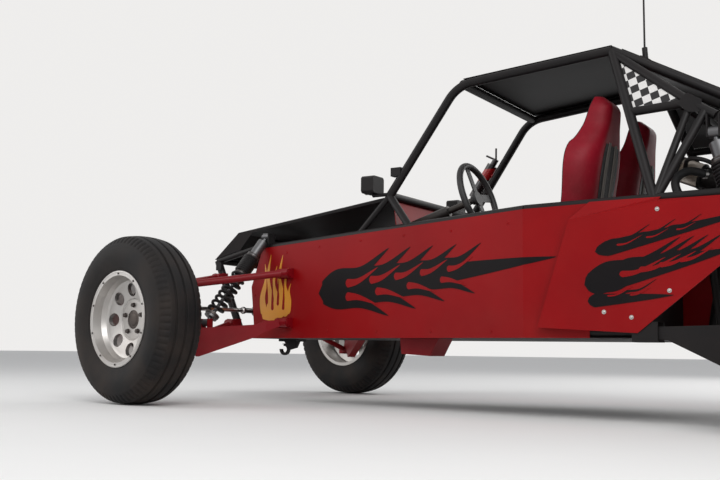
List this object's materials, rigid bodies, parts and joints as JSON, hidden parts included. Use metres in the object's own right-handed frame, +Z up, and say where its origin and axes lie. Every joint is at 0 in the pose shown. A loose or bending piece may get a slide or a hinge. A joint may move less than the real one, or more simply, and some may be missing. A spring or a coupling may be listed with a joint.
{
  "type": "dune buggy",
  "caption": "Open off-road buggy with a tube roll cage, folded body panels, bucket seats, a rear engine, long-travel suspension, ribbed front tyres and paddled rear tyres.",
  "frame": {"origin": "on the ground below the middle of the vehicle's length and width", "axes": "+X forward, +Y to the left, +Z up"},
  "size_m": [3.87, 2.1, 2.4551],
  "materials": {
    "frame_paint": "gloss black enamel",
    "dark_metal": "satin black",
    "red_panel": "deep red gloss paint with flame graphics",
    "arm_red": "deep red gloss enamel",
    "panel_black": "satin black sheet",
    "checker": "white and dark grey squares",
    "aluminium": "polished",
    "cast_alloy": "as cast",
    "engine_metal": "oily",
    "steel": "brushed",
    "hub_steel": "machined",
    "tyre": "matt rubber",
    "spring_paint": "gloss black",
    "seat_vinyl": "crimson upholstery",
    "grip_rubber": "soft grip",
    "lamp_body": "black pod with a clear lens",
    "bottle_red": "gloss red",
    "whip": "black whip"
  },
  "bodies": {
    "chassis": {"lower_frame": "frame_paint", "roll_cage": "frame_paint", "cage_rails": "frame_paint", "frame_brackets": "frame_paint", "floor_pan": "panel_black", "firewall": "panel_black", "side_panels": "red_panel", "rear_panels": "red_panel", "hood_panel": "red_panel", "dash_panel": "panel_black", "roof_panel": "red_panel", "rear_deck": "panel_black", "checker_panels": "checker", "seat_left": "seat_vinyl", "seat_right": "seat_vinyl", "seat_mounts": "dark_metal", "steering_column": "dark_metal", "pedals": "dark_metal", "shifter": "dark_metal", "engine": "engine_metal", "transaxle": "cast_alloy", "exhaust": "steel", "front_upper_arms": "arm_red", "front_lower_arms": "arm_red", "arm_brackets": "arm_red", "foot_box": "arm_red", "dampers": "aluminium", "coil_springs": "spring_paint", "trailing_arms": "frame_paint", "steering_rack": "cast_alloy", "lamps": "lamp_body", "fire_extinguisher": "bottle_red", "antenna": "whip"},
    "rack": {"tie_rods": "steel"},
    "steering_wheel": {"steering_wheel": "grip_rubber"},
    "knuckle_left": {"knuckle_left": "cast_alloy"},
    "front_wheel_left": {"front_rim_left": "aluminium", "front_hub_left": "hub_steel", "front_tyre_left": "tyre"},
    "rear_wheel_left": {"rear_rim_left": "aluminium", "rear_hub_left": "hub_steel", "rear_tyre_left": "tyre", "half_shaft_left": "steel"},
    "knuckle_right": {"knuckle_right": "cast_alloy"},
    "front_wheel_right": {"front_rim_right": "aluminium", "front_hub_right": "hub_steel", "front_tyre_right": "tyre"},
    "rear_wheel_right": {"rear_rim_right": "aluminium", "rear_hub_right": "hub_steel", "rear_tyre_right": "tyre", "half_shaft_right": "steel"}
  },
  "joints": [
    {"name": "front_left_steer", "type": "hinge", "parent": "chassis", "child": "knuckle_left", "pos_m": [1.53757, 0.792, 0.38], "axis": [0, 0, 1], "range_deg": [-15.7, 36.3]},
    {"name": "front_right_steer", "type": "hinge", "parent": "chassis", "child": "knuckle_right", "pos_m": [1.53757, -0.792, 0.38], "axis": [0, 0, 1], "range_deg": [-15.8, 36.4]},
    {"name": "rack_slide", "type": "slide", "parent": "chassis", "child": "rack", "axis": [0, 1, 0], "range_m": [-0.07, 0.0303]},
    {"name": "steering_wheel_turn", "type": "hinge", "parent": "chassis", "child": "steering_wheel", "pos_m": [0.13357, 0.267, 0.915], "axis": [-0.9511, 0, 0.309], "range_deg": [-125.8, 290.6]},
    {"name": "front_left_spin", "type": "hinge", "parent": "knuckle_left", "child": "front_wheel_left", "pos_m": [1.55366, 0.88055, 0.38], "axis": [0.1788, 0.9839, 0], "continuous": true},
    {"name": "front_right_spin", "type": "hinge", "parent": "knuckle_right", "child": "front_wheel_right", "pos_m": [1.52148, -0.88055, 0.38], "axis": [0.1788, 0.9839, 0], "continuous": true},
    {"name": "rear_left_spin", "type": "hinge", "parent": "chassis", "child": "rear_wheel_left", "pos_m": [-1.51243, 0.87, 0.432], "axis": [0, 1, 0], "continuous": true},
    {"name": "rear_right_spin", "type": "hinge", "parent": "chassis", "child": "rear_wheel_right", "pos_m": [-1.51243, -0.87, 0.432], "axis": [0, 1, 0], "continuous": true}
  ],
  "couplings": [
    {"joint": "front_right_steer", "follows": "front_left_steer", "ratio": 1},
    {"joint": "rack_slide", "follows": "front_left_steer", "m_per_rad": -0.11},
    {"joint": "steering_wheel_turn", "follows": "front_left_steer", "ratio": 8}
  ]
}
